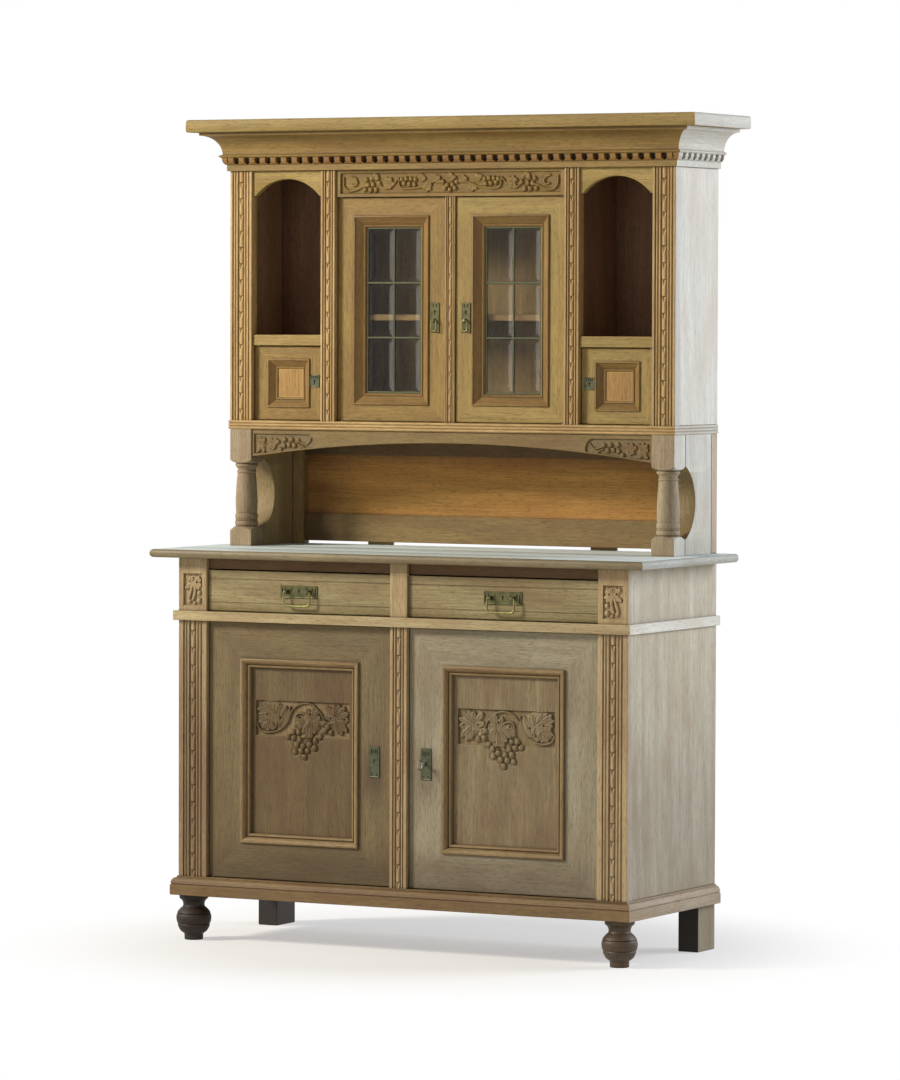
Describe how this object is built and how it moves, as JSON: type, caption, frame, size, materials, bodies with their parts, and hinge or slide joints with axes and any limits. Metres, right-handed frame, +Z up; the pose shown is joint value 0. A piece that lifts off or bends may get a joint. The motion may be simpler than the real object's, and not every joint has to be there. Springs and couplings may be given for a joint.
{
  "type": "buffet cabinet",
  "caption": "Period oak buffet cabinet: panelled base doors and drawers, open serving space on turned balusters, leaded glass doors beside arched niches under a notched cornice.",
  "frame": {"origin": "on the floor, under the middle of the bounding box", "axes": "+Z up, -Y towards the front with the doors, +X to the right seen from the front"},
  "size_m": [1.48, 0.557, 2.136],
  "materials": {
    "aged_brass": "cast brass with dull patina",
    "amber_back_oak": "amber stained framed back",
    "dark_foot_oak": "dark turned oak",
    "golden_oak": "golden waxed oak",
    "greyed_counter_oak": "worn counter oak, greyed by use",
    "key_steel": "worn steel",
    "leaded_glass": "bevelled panes in metal cames",
    "limed_oak": "limed, open-grained oak with a soft wax finish",
    "stained_inner_oak": "dark red-brown stained back boards"
  },
  "bodies": {
    "carcass": {"apron": "limed_oak", "baluster_left": "limed_oak", "baluster_right": "limed_oak", "base_back": "limed_oak", "base_floor": "limed_oak", "base_shelf": "limed_oak", "base_side_left": "limed_oak", "base_side_right": "limed_oak", "centre_post": "golden_oak", "centre_stile": "limed_oak", "corner_stile_left": "limed_oak", "corner_stile_right": "limed_oak", "cornice_moulding": "golden_oak", "cornice_top": "golden_oak", "counter": "greyed_counter_oak", "foot_back_left": "dark_foot_oak", "foot_back_right": "dark_foot_oak", "foot_front_left": "dark_foot_oak", "foot_front_right": "dark_foot_oak", "frieze_panel": "golden_oak", "gallery_back": "amber_back_oak", "niche_arch_left": "golden_oak", "niche_arch_right": "golden_oak", "niche_floor_left": "golden_oak", "niche_floor_right": "golden_oak", "outer_stile_left": "golden_oak", "outer_stile_right": "golden_oak", "partition_left": "golden_oak", "partition_right": "golden_oak", "plinth_frame": "limed_oak", "side_bracket_left": "limed_oak", "side_bracket_right": "limed_oak", "top_rail": "limed_oak", "upper_back": "stained_inner_oak", "upper_floor": "golden_oak", "upper_shelf": "golden_oak", "upper_side_left": "golden_oak", "upper_side_right": "golden_oak", "waist_rail": "limed_oak"},
    "base_door_left": {"base_door_left_frame": "limed_oak", "base_door_left_panel": "limed_oak"},
    "glazed_door_left": {"glazed_door_left_frame": "golden_oak", "glazed_door_left_glazing": "leaded_glass", "glazed_door_left_plate": "aged_brass"},
    "glazed_door_left_pull": {"glazed_door_left_pull": "aged_brass"},
    "small_door_left": {"small_door_left": "golden_oak"},
    "drawer_left": {"drawer_left_box": "limed_oak", "drawer_left_plate": "aged_brass"},
    "drawer_left_bail": {"drawer_left_bail": "aged_brass"},
    "base_door_right": {"base_door_right_frame": "limed_oak", "base_door_right_panel": "limed_oak"},
    "glazed_door_right": {"glazed_door_right_frame": "golden_oak", "glazed_door_right_glazing": "leaded_glass", "glazed_door_right_plate": "aged_brass"},
    "glazed_door_right_pull": {"glazed_door_right_pull": "aged_brass"},
    "small_door_right": {"small_door_right": "golden_oak"},
    "drawer_right": {"drawer_right_box": "limed_oak", "drawer_right_plate": "aged_brass"},
    "drawer_right_bail": {"drawer_right_bail": "aged_brass"},
    "door_key": {"door_key": "key_steel"}
  },
  "joints": [
    {"name": "base_door_left_hinge", "type": "hinge", "parent": "carcass", "child": "base_door_left", "pos_m": [-0.5545, -0.2165, 0.168], "axis": [0, 0, -1], "range_deg": [0, 100]},
    {"name": "glazed_door_left_hinge", "type": "hinge", "parent": "carcass", "child": "glazed_door_left", "pos_m": [-0.3235, 0.0465, 1.349], "axis": [0, 0, -1], "range_deg": [0, 100]},
    {"name": "glazed_door_left_pull_swing", "type": "hinge", "parent": "glazed_door_left", "child": "glazed_door_left_pull", "pos_m": [-0.0455, 0.0322, 1.612], "axis": [-1, 0, 0], "range_deg": [0, 90]},
    {"name": "small_door_left_hinge", "type": "hinge", "parent": "carcass", "child": "small_door_left", "pos_m": [-0.5735, 0.0465, 1.349], "axis": [0, 0, -1], "range_deg": [0, 100]},
    {"name": "drawer_left_slide", "type": "slide", "parent": "carcass", "child": "drawer_left", "axis": [0, -1, 0], "range_m": [0, 0.3]},
    {"name": "drawer_left_bail_swing", "type": "hinge", "parent": "drawer_left", "child": "drawer_left_bail", "pos_m": [-0.29525, -0.2398, 0.9155], "axis": [-1, 0, 0], "range_deg": [0, 90]},
    {"name": "base_door_right_hinge", "type": "hinge", "parent": "carcass", "child": "base_door_right", "pos_m": [0.5545, -0.2165, 0.168], "axis": [0, 0, 1], "range_deg": [0, 100]},
    {"name": "glazed_door_right_hinge", "type": "hinge", "parent": "carcass", "child": "glazed_door_right", "pos_m": [0.3235, 0.0465, 1.349], "axis": [0, 0, 1], "range_deg": [0, 100]},
    {"name": "glazed_door_right_pull_swing", "type": "hinge", "parent": "glazed_door_right", "child": "glazed_door_right_pull", "pos_m": [0.0455, 0.0322, 1.612], "axis": [-1, 0, 0], "range_deg": [0, 90]},
    {"name": "small_door_right_hinge", "type": "hinge", "parent": "carcass", "child": "small_door_right", "pos_m": [0.5735, 0.0465, 1.349], "axis": [0, 0, 1], "range_deg": [0, 100]},
    {"name": "drawer_right_slide", "type": "slide", "parent": "carcass", "child": "drawer_right", "axis": [0, -1, 0], "range_m": [0, 0.3]},
    {"name": "drawer_right_bail_swing", "type": "hinge", "parent": "drawer_right", "child": "drawer_right_bail", "pos_m": [0.29525, -0.2398, 0.9155], "axis": [-1, 0, 0], "range_deg": [0, 90]},
    {"name": "door_key_turn", "type": "hinge", "parent": "base_door_right", "child": "door_key", "pos_m": [0.075, -0.215, 0.487], "axis": [0, -1, 0], "range_deg": [0, 180]}
  ]
}
